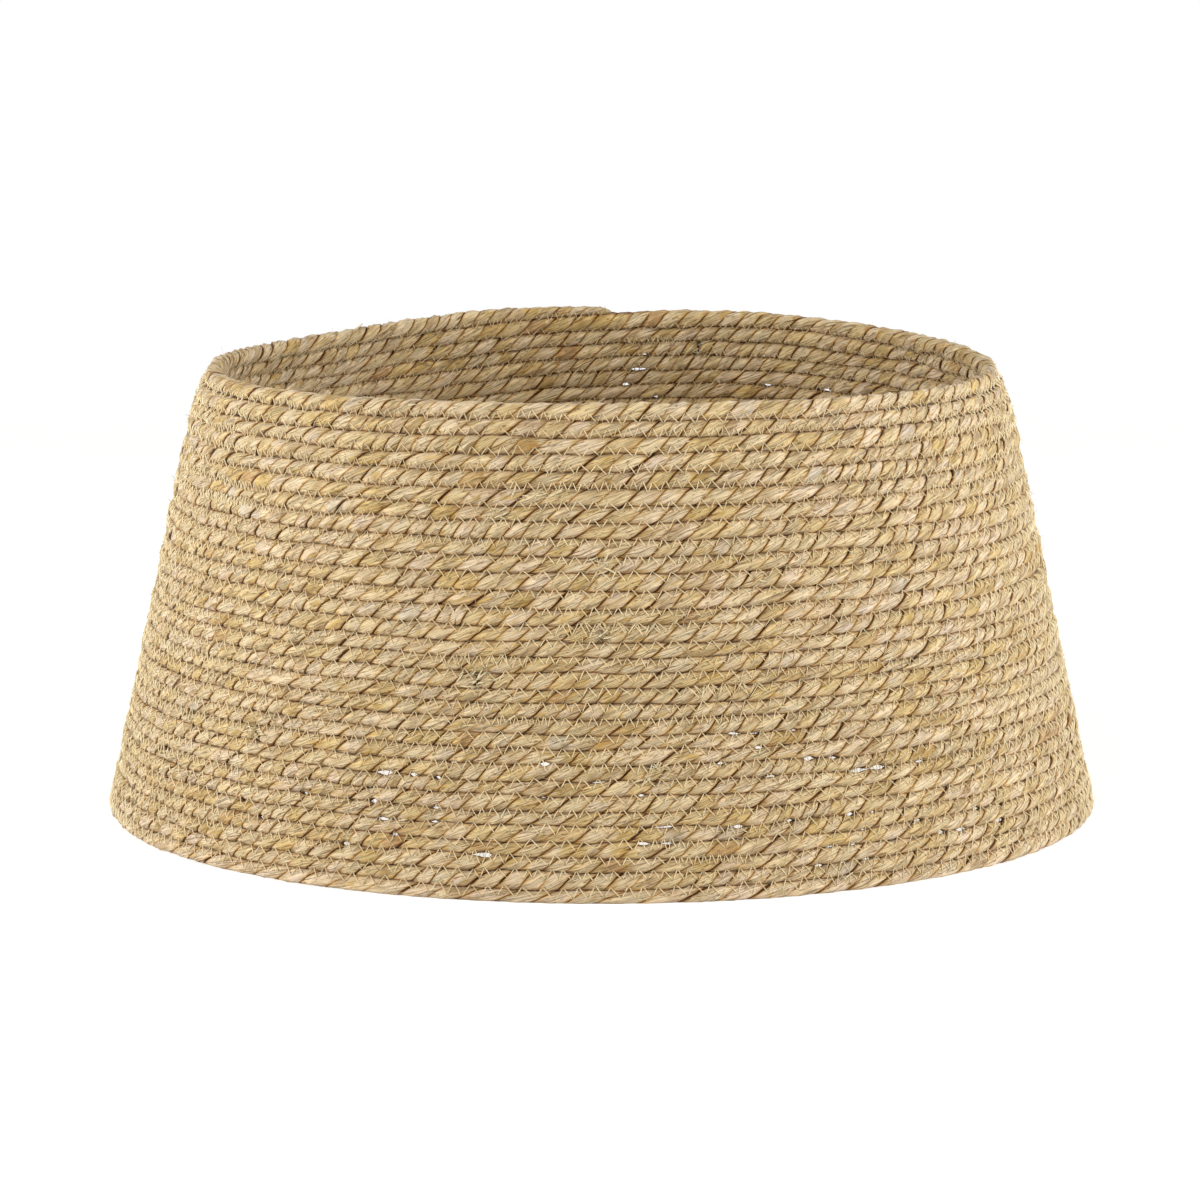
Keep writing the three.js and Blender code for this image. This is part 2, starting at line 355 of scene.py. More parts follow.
def seagrass_blades():
    """The look of dried seagrass blades, on the lengthwise places that each strand carries."""
    group = bpy.data.node_groups.new("seagrass blades", "ShaderNodeTree")
    for name, way, kind in (("Run", "INPUT", "Vector"), ("Valley", "INPUT", "Float"),
                            ("Tint", "INPUT", "Float"), ("Colour", "OUTPUT", "Color"),
                            ("Height", "OUTPUT", "Float"), ("Roughness", "OUTPUT", "Float")):
        group.interface.new_socket(name, in_out=way, socket_type="NodeSocket" + kind)
    inside = node(group, "NodeGroupInput")
    outside = node(group, "NodeGroupOutput")
    link = group.links.new

    def streaks(length, width, detail, shift):
        """Noise from 0 to 1 drawn out along the blades, of a length and width in metres."""
        stretch = node(group, "ShaderNodeVectorMath", operation="MULTIPLY_ADD")
        stretch.inputs[1].default_value = (1 / length, 1 / width, 1 / width)
        stretch.inputs[2].default_value = (shift, shift, shift)
        noise = node(group, "ShaderNodeTexNoise", {"Scale": 1.0, "Detail": detail, "Roughness": 0.6})
        link(inside.outputs["Run"], stretch.inputs[0])
        link(stretch.outputs[0], noise.inputs["Vector"])
        return noise.outputs["Fac"]

    def ramp(value, stops):
        band = node(group, "ShaderNodeValToRGB")
        elements = band.color_ramp.elements
        while len(elements) < len(stops):
            elements.new(0.5)
        for element, (place, shade) in zip(elements, stops):
            element.position = place
            element.color = shade if isinstance(shade, tuple) else (shade, shade, shade, 1)
        link(value, band.inputs["Fac"])
        return band.outputs["Color"]

    def mix(blend, share, first, second):
        mixer = node(group, "ShaderNodeMixRGB", blend_type=blend)
        for name, value in (("Fac", share), ("Color1", first), ("Color2", second)):
            if isinstance(value, (float, tuple)):
                mixer.inputs[name].default_value = value
            else:
                link(value, mixer.inputs[name])
        return mixer.outputs["Color"]

    def add(first, second, share):
        adder = node(group, "ShaderNodeMath", operation="MULTIPLY_ADD")
        adder.inputs[1].default_value = share
        link(second, adder.inputs[0])
        link(first, adder.inputs[2])
        return adder.outputs[0]

    def thin_lines(value, half_width):
        off_middle = node(group, "ShaderNodeMath", operation="SUBTRACT")
        off_middle.inputs[1].default_value = 0.5
        distance = node(group, "ShaderNodeMath", operation="ABSOLUTE")
        link(value, off_middle.inputs[0])
        link(off_middle.outputs[0], distance.inputs[0])
        return ramp(distance.outputs[0], [(0.0, 1.0), (half_width, 0.0)])

    # Straw colour, with golden, pale and brown patches that run along the blades.
    blade = ramp(streaks(length=0.015, width=0.007, detail=1, shift=0), [
        (0.28, colour(196, 165, 117)),
        (0.40, colour(219, 190, 143)),
        (0.5, colour(232, 205, 158)),
        (0.60, colour(235, 210, 167)),
        (0.72, colour(218, 190, 144)),
    ])
    golden = streaks(length=0.013, width=0.004, detail=1, shift=7.3)
    golden = ramp(golden, [(0.60, 0.0), (0.72, 0.9)])
    pale = streaks(length=0.016, width=0.005, detail=1, shift=13.1)
    pale = ramp(pale, [(0.61, 0.0), (0.73, 0.8)])
    brown = streaks(length=0.010, width=0.0022, detail=2, shift=19.7)
    brown = ramp(brown, [(0.65, 0.0), (0.78, 0.95)])
    shade = mix("MIX", golden, blade, colour(208, 172, 102))
    shade = mix("MIX", pale, shade, colour(230, 206, 172))
    shade = mix("MIX", brown, shade, colour(166, 112, 64))

    # Ribs, fibres, pits, and thin dark lines where one blade overlaps the next, which are painted shade
    # in that crease.
    broad = streaks(length=0.024, width=0.0015, detail=1, shift=3.1)
    fine = streaks(length=0.028, width=0.0006, detail=1, shift=5.9)
    edges = streaks(length=0.04, width=0.0021, detail=0, shift=23.3)
    edges = thin_lines(edges, half_width=0.018)
    pits = streaks(length=0.0034, width=0.0011, detail=1, shift=31.7)
    pits = ramp(pits, [(0.26, 1.0), (0.38, 0.0)])
    shade = mix("MULTIPLY", 1.0, shade, ramp(broad, [(0.30, 0.82), (0.46, 0.96), (0.60, 1.04)]))
    shade = mix("MULTIPLY", 1.0, shade, ramp(fine, [(0.34, 0.62), (0.5, 0.98), (0.62, 1.08)]))
    shade = mix("MULTIPLY", edges, shade, (0.56, 0.44, 0.30, 1.0))
    shade = mix("MULTIPLY", pits, shade, (0.58, 0.48, 0.34, 1.0))

    # Each strand's own tint, and painted shade: brown darkening towards the valleys between the strands
    # and towards the grooves between the courses.
    tint = ramp(inside.outputs["Tint"], [
        (0.03, (0.80, 0.64, 0.50, 1.0)),
        (0.10, (0.90, 0.82, 0.56, 1.0)),
        (0.24, (0.97, 0.93, 0.80, 1.0)),
        (0.50, (1.0, 1.0, 1.0, 1.0)),
        (0.76, (1.02, 1.01, 1.05, 1.0)),
        (0.90, (1.03, 1.01, 1.12, 1.0)),
        (0.98, (0.90, 0.95, 1.12, 1.0)),
    ])
    painted_shade = ramp(inside.outputs["Valley"], [
        (0.50, (1.0, 1.0, 1.0, 1.0)),
        (0.63, (0.93, 0.86, 0.73, 1.0)),
        (0.72, (0.70, 0.52, 0.28, 1.0)),
        (0.81, (0.16, 0.07, 0.012, 1.0)),
    ])
    shade = mix("MULTIPLY", 1.0, shade, tint)
    link(mix("MULTIPLY", 1.0, shade, painted_shade), outside.inputs["Colour"])
    link(add(add(add(broad, fine, 0.5), edges, -0.7), pits, -0.5), outside.inputs["Height"])
    link(ramp(fine, [(0.3, 0.62), (0.7, 0.85)]), outside.inputs["Roughness"])
    return group


BLADES = seagrass_blades()


def dried_seagrass(name, bleached):
    """Seagrass as it is laid up, or bleached by a share, as its loose ends are."""
    material = bpy.data.materials.new(name)
    material.use_nodes = True
    tree = material.node_tree
    shader = tree.nodes["Principled BSDF"]
    shader.inputs["Specular IOR Level"].default_value = 0.12
    shader.inputs["Sheen Weight"].default_value = 0.22
    shader.inputs["Sheen Roughness"].default_value = 0.5
    shader.inputs["Sheen Tint"].default_value = (1.0, 0.95, 0.86, 1.0)
    look = node(tree, "ShaderNodeGroup", node_tree=BLADES)
    for value_name, output in (("run", "Vector"), ("valley", "Fac"), ("tint", "Fac")):
        carried = node(tree, "ShaderNodeAttribute", attribute_name=value_name)
        tree.links.new(carried.outputs[output], look.inputs[value_name.capitalize()])
    pale = node(tree, "ShaderNodeMixRGB", {"Fac": bleached, "Color2": colour(250, 229, 180)})
    bump = node(tree, "ShaderNodeBump", {"Strength": 0.95, "Distance": 0.0008})
    tree.links.new(look.outputs["Height"], bump.inputs["Height"])
    tree.links.new(bump.outputs["Normal"], shader.inputs["Normal"])
    tree.links.new(look.outputs["Colour"], pale.inputs["Color1"])
    tree.links.new(pale.outputs["Color"], shader.inputs["Base Color"])
    tree.links.new(look.outputs["Roughness"], shader.inputs["Roughness"])
    return material


SEAGRASS = dried_seagrass("seagrass rope", 0.0)

# A strand's tint runs from 0, brown and golden, to 1, pale and grey. Stains are given by their
# tint and by the turns at which they lie.
TINT_SEED = 61
TINT_COUNT = 9000
FIRST_TINT = 100
TINT_SPREAD = 0.78
TINT_DRIFT = 0.12
FOOT_TINT = 0.62
FOOT_TINT_SPREAD = 0.3
STAIN_REACH = 0.0055
STAINS = {
    "grey": (0.98, [4.378, 4.394, 10.430, 21.2, 23.560, 24.518, 24.578]),
    "golden": (0.10, [2.385, 3.410, 3.425, 4.408, 9.425, 26.381]),
    "brown": (0.02, [2.413, 18.387, 22.85]),
    "olive": (0.22, [16.454, 17.454, 12.3]),
}


def blade_tint(turn, strand):
    """The blades' own tint, 0 to 1, which changes wherever a strand goes out of sight."""
    showing = np.interp(turn, lay_places, lay_angles) / math.pi + strand + 0.5
    tints = np.random.default_rng(TINT_SEED + strand).uniform(0, 1, TINT_COUNT)
    tint = tints[np.floor(-showing).astype(int) + FIRST_TINT]
    drift = TINT_DRIFT * wander(turn, per_turn=9, seed=63)
    tint = np.clip(0.5 + (tint - 0.5) * TINT_SPREAD + drift, 0, 1)
    for stain, places in STAINS.values():
        for place in places:
            near = smooth_step(np.abs(turn - place), STAIN_REACH, STAIN_REACH / 2)
            tint = tint * (1 - near) + stain * near
    return np.where(turn < 1, FOOT_TINT + FOOT_TINT_SPREAD * tint, tint)


# Two lengths of rope are butted a hair apart, with rounded ends, and the last one ends in a nose
# that lies down on the course below. Each strand carries its own stretch of the blades' pattern,
# and shade is painted into the grooves between the courses.
BUTT_GAP = 0.0003
BUTT_ROUNDING = [0.55, 0.8, 0.94]
NOSE_RINGS = 9
NOSE_LENGTH = 0.97
PATTERN_RADIUS = 0.0033
PATTERN_SHIFT = 1.7
# How much painted shade the grooves between the courses get, from which share of the rope's half height,
# and over what room.
GROOVE_PAINTED_SHADE = 0.32
GROOVE_PAINTED_SHADE_START = 0.88
GROOVE_PAINTED_SHADE_ROOM = 0.15

joins = [round(share * COURSES * JOIN_STEPS_PER_TURN) / JOIN_STEPS_PER_TURN
         for share in ROPE_JOIN_SHARES]
ends = [ROPE_START, *joins, ROPE_FINISH]

for number, (start, finish) in enumerate(zip(ends, ends[1:]), 1):
    suffix = "_base" if number == 1 else "_rim" if number == len(ends) - 1 else ""
    rope_name = f"rope_length_{number}{suffix}"
    rings = round((finish - start) * RINGS_PER_TURN)
    turns = np.linspace(start + BUTT_GAP, finish - BUTT_GAP, rings)
    half_rise = rope_at(turns)["half_rise"][:, None]
    for strand, letter in enumerate("ab"):
        out, up, grain, run = strand_outline(turns, strand, STRAND_CORNERS)
        inset = np.ones_like(turns)
        inset[:len(BUTT_ROUNDING)] = BUTT_ROUNDING
        inset[-len(BUTT_ROUNDING):] = BUTT_ROUNDING[::-1]
        middle_out = out.mean(axis=1, keepdims=True)
        middle_up = up.mean(axis=1, keepdims=True)
        if finish == ROPE_FINISH:
            inset[-NOSE_RINGS:] = np.sqrt(1 - np.linspace(0, NOSE_LENGTH, NOSE_RINGS) ** 2)
            middle_out = middle_out * inset[:, None]
            middle_up = -half_rise + (middle_up + half_rise) * inset[:, None]
            up = -half_rise + (up + half_rise) * inset[:, None]
        else:
            up = middle_up + (up - middle_up) * inset[:, None]
        out = middle_out + (out - middle_out) * inset[:, None]
        piece = tubes(f"{rope_name}_strand_{letter}", on_wall(turns, out, up)[None])
        run = run[:, None] + (2 * number + strand) * PATTERN_SHIFT
        places = np.stack([np.broadcast_to(run, grain.shape), PATTERN_RADIUS * np.cos(grain),
                           PATTERN_RADIUS * np.sin(grain)], axis=-1).reshape(-1, 3)
        set_value(piece, "run", np.concatenate([places, places[[0, -1]]]))
        # Painted shade: the valley value darkens each strand towards the crease between the strands, and
        # towards the groove wherever a course lies beside it.
        pressed = np.abs(up) / half_rise
        covered = 1 - (up > 0) * no_course_above(turns)
        in_groove = np.clip((pressed - GROOVE_PAINTED_SHADE_START) / GROOVE_PAINTED_SHADE_ROOM, 0, 1) * covered
        valley = np.maximum(0.5 - 0.5 * np.cos(STRAND_CORNERS), 0.5 + GROOVE_PAINTED_SHADE * in_groove).ravel()
        set_value(piece, "valley", np.concatenate([valley, [1, 1]]))
        tint = np.repeat(blade_tint(turns, strand), len(STRAND_CORNERS))
        set_value(piece, "tint", np.concatenate([tint, tint[[0, -1]]]))
        piece.data.materials.append(SEAGRASS)
        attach(piece, "root")
        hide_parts(rope_name)


# THE SEAM
# One zigzag lockstitch of fine cream thread joins each course to the next, its stitches tight in
# the ropes and open over the groove. The needle thread is outside and the bobbin thread inside,
# and both are renewed once, part way up.

THREAD_RADIUS = 0.00035
BOBBIN_THREAD_RADIUS = 0.00025
THREAD_CORNERS = 3
NEEDLE_POINTS = 4
BOBBIN_POINTS = 2
BOBBIN_TAUTNESS = 0.3
THREAD_CHANGE = joins[3]
SEAM_SEED = 71

# The stitches: two to a period, with the rising one longer, and how much all of it varies.
STITCH_PERIOD = 0.0083
RISING_SHARE = 0.62
PACE_WAVE = 0.2
PACE_WAVE_RATE = 17
PACE_SPREAD = 0.26
STITCH_HEIGHT = 0.0061
STITCH_HEIGHT_SPREAD = 0.24
FOOT_STITCH_REACH = 0.22
FOOT_STITCH_END = (0.8, 1.6)
STITCH_BITE = 0.0002

# The seam runs a little below the groove, and above it near the rim.
SEAM_OFF_GROOVE = -0.0015
RIM_SEAM_OFF_GROOVE = 0.0016
RIM_SEAM_PASSAGE = (COURSES - 9, COURSES - 4)
SEAM_WANDER = 0.0006

# Places in turns where it was sewn back over itself twice, and where the stitches are close.
BACK_TACKS = [(13.364, 13.384), (14.440, 14.472), (15.442, 15.470), (17.397, 17.431), (27.93, 27.95)]
CLOSE_RUNS = [(2.369, 2.394), (3.385, 3.40), (11.43, 11.45), (22.57, 22.6), (23.56, 23.6), (24.55, 24.58)]
CLOSE_PACE = 0.5
TACK_DROP = 0.0006
TACK_REACH = 0.7
TACK_LIFT = 1.2

# The rope's face is felt at so many corners round a strand, and TINY keeps divisions off nought.
GAUGE_CORNERS = 24
TINY = 1e-9
gauge = np.arange(GAUGE_CORNERS) / GAUGE_CORNERS * 2 * math.pi


def rope_face(turn, up, side):
    """How far the rope's outside, or its inside, stands off the wall's middle at a height."""
    best = np.full(len(turn), -np.inf)
    for strand in (0, 1):
        out, rise, _, _ = strand_outline(turn, strand, gauge)
        after_out = np.roll(out, -1, axis=1)
        after_rise = np.roll(rise, -1, axis=1)
        crosses = (rise - up[:, None]) * (after_rise - up[:, None]) <= 0
        climb = np.where(np.abs(after_rise - rise) < TINY, TINY, after_rise - rise)
        at = out + (after_out - out) * np.clip((up[:, None] - rise) / climb, 0, 1)
        best = np.maximum(best, np.where(crosses, side * at, -np.inf).max(axis=1))
    return np.where(np.isfinite(best), best, 0)


def seam_points(turn, off_groove, side):
    """Places beside a groove: the rope they lie on, their height on it, and its face there."""
    upper = off_groove > 0
    rope_turn = np.where(upper, turn + 1, turn)
    half = rope_at(rope_turn)["half_rise"]
    up = np.where(upper, off_groove - half, off_groove + half)
    return rope_turn, up, rope_face(rope_turn, up, side)


def stitch_holes(start, finish, radius, random):
    """Where the needle goes in along the winding, and how many times it has gone over each place."""
    holes = [start]
    layers = [0]
    tacks = [tack for tack in BACK_TACKS if start < tack[0] < finish]
    layer = 0
    while holes[-1] < finish:
        pace = 1 + PACE_WAVE * math.sin(holes[-1] * PACE_WAVE_RATE)
        pace += random.uniform(-PACE_SPREAD, PACE_SPREAD)
        if any(first < holes[-1] < last for first, last in CLOSE_RUNS):
            pace *= CLOSE_PACE
        share = RISING_SHARE if len(holes) % 2 else 1 - RISING_SHARE
        heading = -1 if layer == 1 else 1
        holes.append(holes[-1] + heading * STITCH_PERIOD * share * pace / (2 * math.pi * radius))
        layers.append(layer)
        if tacks and layer in (0, 2) and holes[-1] > tacks[0][1]:
            layer = (layer + 1) % 3
            if layer == 0:
                tacks.pop(0)
        elif layer == 1 and holes[-1] < tacks[0][0]:
            layer = 2
    return np.array(holes[:-1]), np.array(layers[:-1])


def zigzag(start, finish, side, points_per_stitch, seed):
    """A thread's route: it dips into the rope at each stitch hole and is taut in between."""
    random = np.random.default_rng(seed)
    radius = wall_radius(level_height(level((start + finish) / 2), 0.0), 0.0)
    holes, layers = stitch_holes(start, finish, radius, random)
    to_rim = smooth_step(holes, *RIM_SEAM_PASSAGE)
    middle = SEAM_OFF_GROOVE + (RIM_SEAM_OFF_GROOVE - SEAM_OFF_GROOVE) * to_rim
    middle += SEAM_WANDER * wander(holes, per_turn=5, seed=seed) - TACK_DROP * layers
    swing = STITCH_HEIGHT / 2 * (1 + STITCH_HEIGHT_SPREAD * random.uniform(-1, 1, len(holes)))
    swing *= 1 + FOOT_STITCH_REACH * (1 - smooth_step(holes, *FOOT_STITCH_END))
    swing *= 1 + TACK_REACH * np.minimum(layers, 1) * random.uniform(0, 1, len(holes))
    heights = middle + np.where(np.arange(len(holes)) % 2 == 0, -swing, swing)
    steps = np.arange(points_per_stitch) / points_per_stitch
    turn = (holes[:-1, None] + np.diff(holes)[:, None] * steps).ravel()
    off = (heights[:-1, None] + np.diff(heights)[:, None] * steps).ravel()
    rope_turn, up, face = seam_points(turn, off, side)
    face = face.reshape(-1, points_per_stitch)
    hole_face = np.append(face[:, 0], face[-1, 0])
    chord = hole_face[:-1, None] + np.diff(hole_face)[:, None] * steps
    thread_radius = THREAD_RADIUS if side > 0 else BOBBIN_THREAD_RADIUS
    taut = face + (chord - face) * (1.0 if side > 0 else BOBBIN_TAUTNESS)
    lifted = np.maximum(face, taut) + thread_radius * (1 + TACK_LIFT * layers[:-1, None])
    lifted[:, 0] = face[:, 0] - STITCH_BITE
    return on_wall(rope_turn, side * lifted.ravel(), up)


def drawn_tubes(name, routes, wide, thin, corners):
    """Tubes along routes, as wide across and as thin as given, square to the way they run."""
    ahead = np.gradient(routes, axis=1)
    ahead /= np.linalg.norm(ahead, axis=-1, keepdims=True)
    outward = routes * [1, 1, 0]
    outward /= np.linalg.norm(outward, axis=-1, keepdims=True)
    beside = np.cross(ahead, outward)
    beside /= np.linalg.norm(beside, axis=-1, keepdims=True) + TINY
    above = np.cross(beside, ahead)
    angles = np.arange(corners)[:, None] / corners * 2 * math.pi
    rings = (routes[:, :, None]
             + np.asarray(thin)[..., None, None] * np.cos(angles) * above[:, :, None]
             + np.asarray(wide)[..., None, None] * np.sin(angles) * beside[:, :, None])
    return tubes(name, rings)


def sewing_thread():
    """Pale thread with a slight change of shade from place to place."""
    material = bpy.data.materials.new("sewing thread")
    material.use_nodes = True
    tree = material.node_tree
    shader = tree.nodes["Principled BSDF"]
    shader.inputs["Roughness"].default_value = 0.55
    shader.inputs["Specular IOR Level"].default_value = 0.4
    place = node(tree, "ShaderNodeTexCoord")
    patches = node(tree, "ShaderNodeTexNoise", {"Scale": 60.0, "Detail": 2.0})
    band = node(tree, "ShaderNodeValToRGB")
    band.color_ramp.elements[0].position = 0.35
    band.color_ramp.elements[0].color = colour(234, 208, 157)
    band.color_ramp.elements[1].position = 0.65
    band.color_ramp.elements[1].color = colour(248, 229, 184)
    tree.links.new(place.outputs["Object"], patches.inputs["Vector"])
    tree.links.new(patches.outputs["Fac"], band.inputs["Fac"])
    tree.links.new(band.outputs["Color"], shader.inputs["Base Color"])
    return material


THREAD = sewing_thread()

seam_runs = [("lower", ROPE_START, THREAD_CHANGE), ("upper", THREAD_CHANGE, ROPE_FINISH - 1)]
threads = [("needle_thread", 1, NEEDLE_POINTS, THREAD_RADIUS),
           ("bobbin_thread", -1, BOBBIN_POINTS, BOBBIN_THREAD_RADIUS)]
for thread, side, points_per_stitch, radius in threads:
    for part, start, finish in seam_runs:
        thread_name = f"{thread}_{part}"
        route = zigzag(start, finish, side, points_per_stitch, SEAM_SEED + side)
        girth = np.full(route.shape[:1], radius)[None]
        piece = drawn_tubes(f"{thread_name}_stitches", route[None], girth, girth, THREAD_CORNERS)
        piece.data.materials.append(THREAD)
        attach(piece, "root")
        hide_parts(thread_name)


# THE LOOSE FIBRES
# Dried seagrass sheds: fine hairs stand off the ropes, and split blades lift from them, most of
# all where one length of rope is butted to the next and over-sewn. They hang on by their roots.

HAIR_COUNT = 5200
HAIR_RADIUS = 0.00014
FRAYED_HAIR_RADIUS = 1.4 * HAIR_RADIUS
BLADE_COUNT = 170
BLADE_HALF_WIDTH = 0.0012 / 2
BLADE_HALF_THICKNESS = 0.0002 / 2

# Where they grow, in turns along the winding: strewn all over, or in tufts at the joins and at a
# few more frayed places. A side of 1 is the outside, and one of -1 the inside.
STREWN_FROM = 0.1
STREWN_TO = COURSES - 0.15
TUFTS = [25.436, 8.400, 18.387, 24.453, 21.417]
HAIRS_PER_TUFT = 36
BLADES_PER_TUFT = 12
MOSTLY_OUTSIDE = [1, 1, 1, -1]
TWICE_OUTSIDE = [1, 1, -1]

# How they grow: rooted up to a share of the rope's half height off its middle, at a slope and with
# a bend, lifted early, thinner towards the tip, and clear of the floor.
ROOT_REACH = 0.85
ROOT_DEPTH = 0.0003
MIDDLE_SLOPE = 0.35
BEND_UPWARD = 0.6
EARLY_LIFT = 0.4
END_TAPER = [1, 1, 0.8, 0.35]
FLOOR_CLEARANCE = 0.0006
END_TINTS = (0.2, 0.9)
# Loose ends take a valley value below where the painted shade starts, so none is painted on them.
FREE_OF_PAINTED_SHADE = 0.3

BLADE_ENDS = dried_seagrass("split blade ends", 0.8)

strewn = np.random.default_rng(81)


def loose_ends(name, turns, lengths, sides, lift, spread, wide, thin, seed):
    """Hairs or split blades rooted in the ropes at these places, which they leave at random."""
    number = len(turns)
    length = strewn.uniform(*lengths, number)[:, None, None]
    side = strewn.choice(sides, number)
    random = np.random.default_rng(seed)
    up = rope_at(turns)["half_rise"] * random.uniform(-ROOT_REACH, ROOT_REACH, number)
    face = rope_face(turns, up, 1) * (side > 0) + rope_face(turns, up, -1) * (side < 0)
    root = on_wall(turns, side * (face - ROOT_DEPTH), up)
    angle = azimuth(turns)
    outward = side[:, None] * np.stack([np.cos(angle), np.sin(angle), np.zeros(number)], axis=-1)
    along = np.stack([-np.sin(angle), np.cos(angle), np.zeros(number)], axis=-1)
    along *= random.choice([-1, 1], number)[:, None]
    slope = random.normal(MIDDLE_SLOPE, spread, number) * np.sign(along[:, 0] + TINY)
    ahead = along * np.cos(slope)[:, None] + [0, 0, 1] * np.sin(slope)[:, None]
    bend = random.uniform(-0.5, 0.5, number)[:, None] * [0, 0, BEND_UPWARD]
    rise = (lift * random.uniform(0.3, 1, number))[:, None] * outward
    reach = np.linspace(0, 1, len(END_TAPER))[None, :, None]
    early = reach * (1 + EARLY_LIFT - EARLY_LIFT * reach)
    routes = root[:, None] + length * (
        reach * ahead[:, None] + reach ** 2 * bend[:, None] + early * rise[:, None])
    routes[..., 2] = np.maximum(routes[..., 2], FLOOR_CLEARANCE)
    taper = np.ones((number, 1)) * END_TAPER
    corners = 4 if wide > thin else 3
    piece = drawn_tubes(name, routes, wide * taper, thin * taper, corners)
    set_value(piece, "run", np.array([vertex.co for vertex in piece.data.vertices]))
    set_value(piece, "valley", np.full(len(piece.data.vertices), FREE_OF_PAINTED_SHADE))
    tint = random.uniform(*END_TINTS, number)
    skin_tint = np.repeat(tint, len(END_TAPER) * corners)
    set_value(piece, "tint", np.concatenate([skin_tint, np.repeat(tint, 2)]))
    piece.data.materials.append(BLADE_ENDS)
    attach(piece, "root")


loose_ends("loose_hairs", strewn.uniform(STREWN_FROM, STREWN_TO, HAIR_COUNT),
           lengths=(0.002, 0.0065), sides=MOSTLY_OUTSIDE, lift=0.55, spread=0.7,
           wide=HAIR_RADIUS, thin=HAIR_RADIUS, seed=82)
loose_ends("split_blades", strewn.uniform(STREWN_FROM, STREWN_TO, BLADE_COUNT),
           lengths=(0.005, 0.010), sides=MOSTLY_OUTSIDE, lift=0.16, spread=0.35,
           wide=BLADE_HALF_WIDTH, thin=BLADE_HALF_THICKNESS, seed=83)

hair_roots = np.repeat(joins + TUFTS, HAIRS_PER_TUFT)
loose_ends("frayed_hairs", hair_roots + strewn.normal(0, 0.003, len(hair_roots)),
           lengths=(0.003, 0.008), sides=TWICE_OUTSIDE, lift=0.4, spread=0.8,
           wide=FRAYED_HAIR_RADIUS, thin=FRAYED_HAIR_RADIUS, seed=84)
blade_roots = np.repeat(joins + TUFTS, BLADES_PER_TUFT)
loose_ends("frayed_blades", blade_roots + strewn.normal(0, 0.0025, len(blade_roots)),
           lengths=(0.004, 0.009), sides=TWICE_OUTSIDE, lift=0.25, spread=0.5,
           wide=BLADE_HALF_WIDTH, thin=BLADE_HALF_THICKNESS, seed=85)


# THE FLOOR
# A plain white floor under the collar, and a white room round it. The camera sees both as plain
# white, and the floor keeps the collar's shadow.

FLOOR_GLOW = 0.46
FLOOR_GLOW_WITHIN = 0.76
WITHIN_COLLAR = (0.25, 0.29)
WHITE_OUT = (0.7, 2.2)
ROOM_LIGHT = 0.48


def white_floor():
    """Floor that shows the camera its shadow, a glow of its own, and plain white further off."""
    material = bpy.data.materials.new("white floor")
    material.use_nodes = True
    tree = material.node_tree
    shader = tree.nodes["Principled BSDF"]
    shader.inputs["Base Color"].default_value = (0.8, 0.8, 0.8, 1)
    shader.inputs["Roughness"].default_value = 0.9
    light_path = node(tree, "ShaderNodeLightPath")
    seen = node(tree, "ShaderNodeMath", operation="MAXIMUM")
    tree.links.new(light_path.outputs["Is Camera Ray"], seen.inputs[0])
    tree.links.new(light_path.outputs["Is Glossy Ray"], seen.inputs[1])
    glow = node(tree, "ShaderNodeEmission", {"Color": (1.0, 0.97, 0.92, 1.0)})
    both = node(tree, "ShaderNodeAddShader")
    plain = node(tree, "ShaderNodeEmission", {"Strength": 1.0})
    place = node(tree, "ShaderNodeTexCoord")
    distance = node(tree, "ShaderNodeVectorMath", operation="LENGTH")
    far = node(tree, "ShaderNodeMapRange", {
        "From Min": WHITE_OUT[0], "From Max": WHITE_OUT[1],
    }, interpolation_type="SMOOTHSTEP")
    within = node(tree, "ShaderNodeMapRange", {
        "From Min": WITHIN_COLLAR[0], "From Max": WITHIN_COLLAR[1],
        "To Min": FLOOR_GLOW_WITHIN, "To Max": FLOOR_GLOW,
    }, interpolation_type="SMOOTHSTEP")
    fading = node(tree, "ShaderNodeMixShader")
    mixed = node(tree, "ShaderNodeMixShader")
    tree.links.new(shader.outputs[0], both.inputs[0])
    tree.links.new(glow.outputs[0], both.inputs[1])
    tree.links.new(place.outputs["Object"], distance.inputs[0])
    tree.links.new(distance.outputs["Value"], far.inputs["Value"])
    tree.links.new(distance.outputs["Value"], within.inputs["Value"])
    tree.links.new(within.outputs["Result"], glow.inputs["Strength"])
    tree.links.new(far.outputs["Result"], fading.inputs[0])
    tree.links.new(both.outputs[0], fading.inputs[1])
    tree.links.new(plain.outputs[0], fading.inputs[2])
    tree.links.new(seen.outputs[0], mixed.inputs[0])
    tree.links.new(shader.outputs[0], mixed.inputs[1])
    tree.links.new(fading.outputs[0], mixed.inputs[2])
    tree.links.new(mixed.outputs[0], tree.nodes["Material Output"].inputs["Surface"])
    return material


bpy.ops.object.select_all(action="DESELECT")
bpy.ops.mesh.primitive_plane_add(size=12, location=(0, 0, 0))
floor = bpy.context.object
floor.name = "floor"
floor.data.materials.append(white_floor())

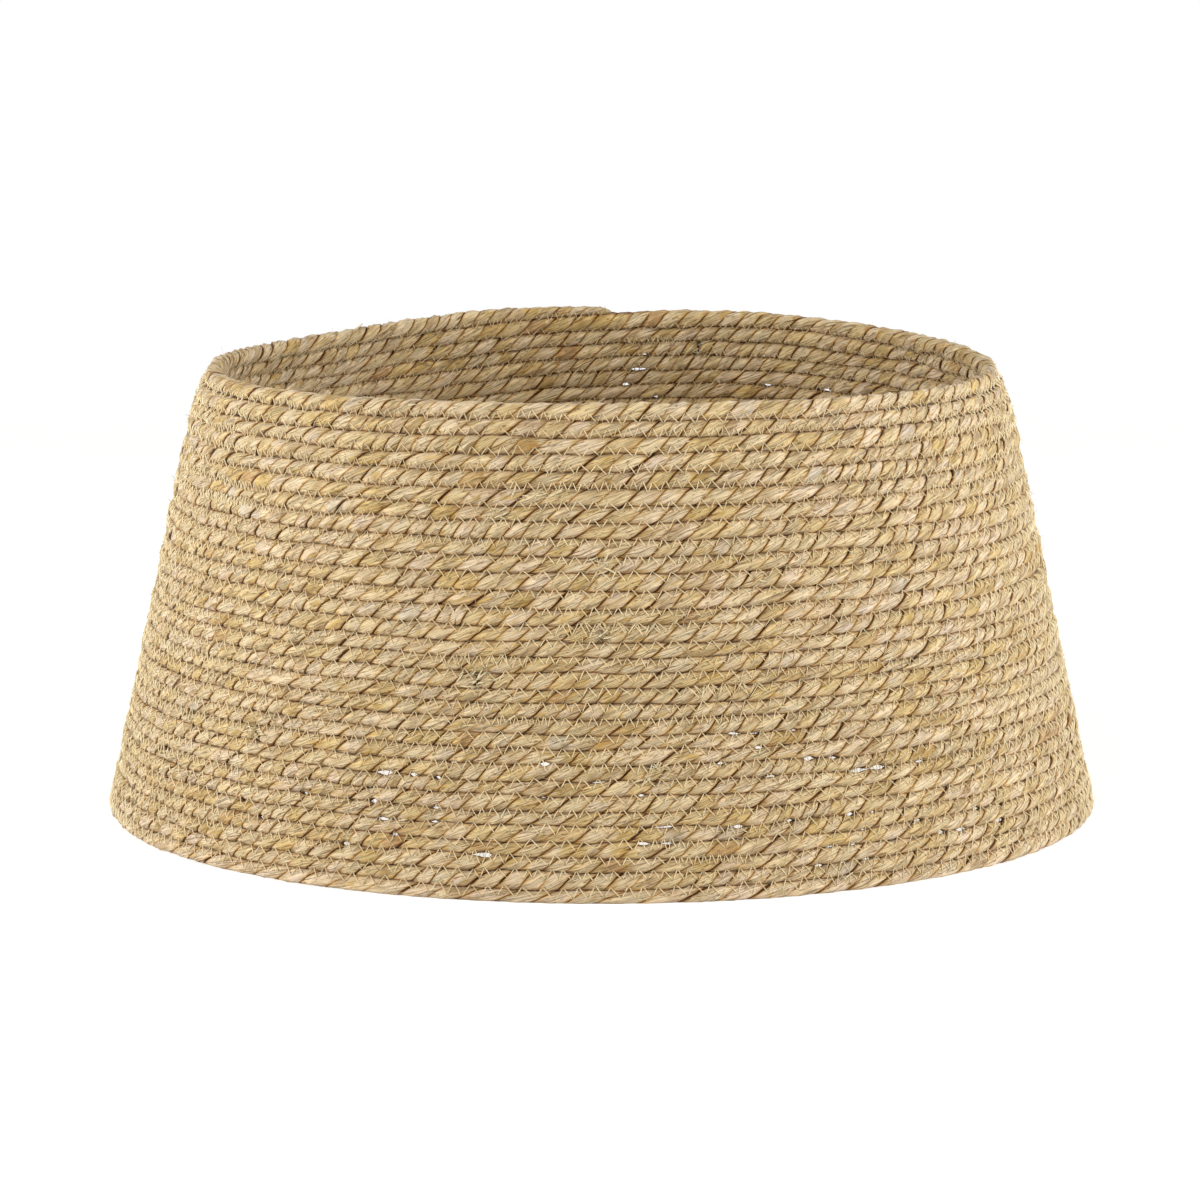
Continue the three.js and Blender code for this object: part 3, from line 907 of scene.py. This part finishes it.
world = bpy.data.worlds.new("white room")
bpy.context.scene.world = world
world.use_nodes = True
world_tree = world.node_tree
room_light = world_tree.nodes["Background"]
room_light.inputs["Color"].default_value = (1, 1, 1, 1)
room_light.inputs["Strength"].default_value = ROOM_LIGHT
backdrop = node(world_tree, "ShaderNodeBackground", {"Strength": 1.0})
backdrop.inputs["Color"].default_value = (1, 1, 1, 1)
room_path = node(world_tree, "ShaderNodeLightPath")
room_mix = node(world_tree, "ShaderNodeMixShader")
world_tree.links.new(room_path.outputs["Is Camera Ray"], room_mix.inputs[0])
world_tree.links.new(room_light.outputs[0], room_mix.inputs[1])
world_tree.links.new(backdrop.outputs[0], room_mix.inputs[2])
world_tree.links.new(room_mix.outputs[0], world_tree.nodes["World Output"].inputs["Surface"])


# THE LIGHT AND THE CAMERA
# Soft studio light: two large lamps at the sides, a little in front, and a weaker one higher up in
# front. The camera stands well above the rim and looks down a little, as it did for the photograph.

LIGHT_AIM = (0, 0, 0.12)
SIDE_TONE = (0.93, 1.0, 1.11)
FRONT_TONE = (1.0, 0.99, 0.95)
CAMERA_PLACE = (0, -3.552, 0.714)
CAMERA_TILT = math.radians(90 - 9.44)
CAMERA_LENS = 177.9
CAMERA_SENSOR = 36
CAMERA_SHIFT = -1.5 / 1200


def soft_light(name, place, size, power, tone):
    bpy.ops.object.light_add(type="AREA", location=place)
    lamp = bpy.context.object
    lamp.name = name
    lamp.data.size = size
    lamp.data.energy = power
    lamp.data.color = tone
    aim = np.array(LIGHT_AIM) - np.array(place)
    lamp.rotation_euler = (math.atan2(math.hypot(aim[0], aim[1]), -aim[2]), 0,
                           math.atan2(-aim[0], aim[1]))


soft_light("left light", (-2.45, -0.8, 0.85), size=1.8, power=50, tone=SIDE_TONE)
soft_light("right light", (2.45, -0.8, 0.85), size=1.8, power=55, tone=SIDE_TONE)
soft_light("front light", (-0.9, -2.6, 1.75), size=1.2, power=12.5, tone=FRONT_TONE)

bpy.ops.object.camera_add(location=CAMERA_PLACE, rotation=(CAMERA_TILT, 0, 0))
camera = bpy.context.object
camera.data.sensor_width = CAMERA_SENSOR
camera.data.lens = CAMERA_LENS
camera.data.shift_x = CAMERA_SHIFT
bpy.context.scene.camera = camera
bpy.context.scene.view_settings.view_transform = "Standard"
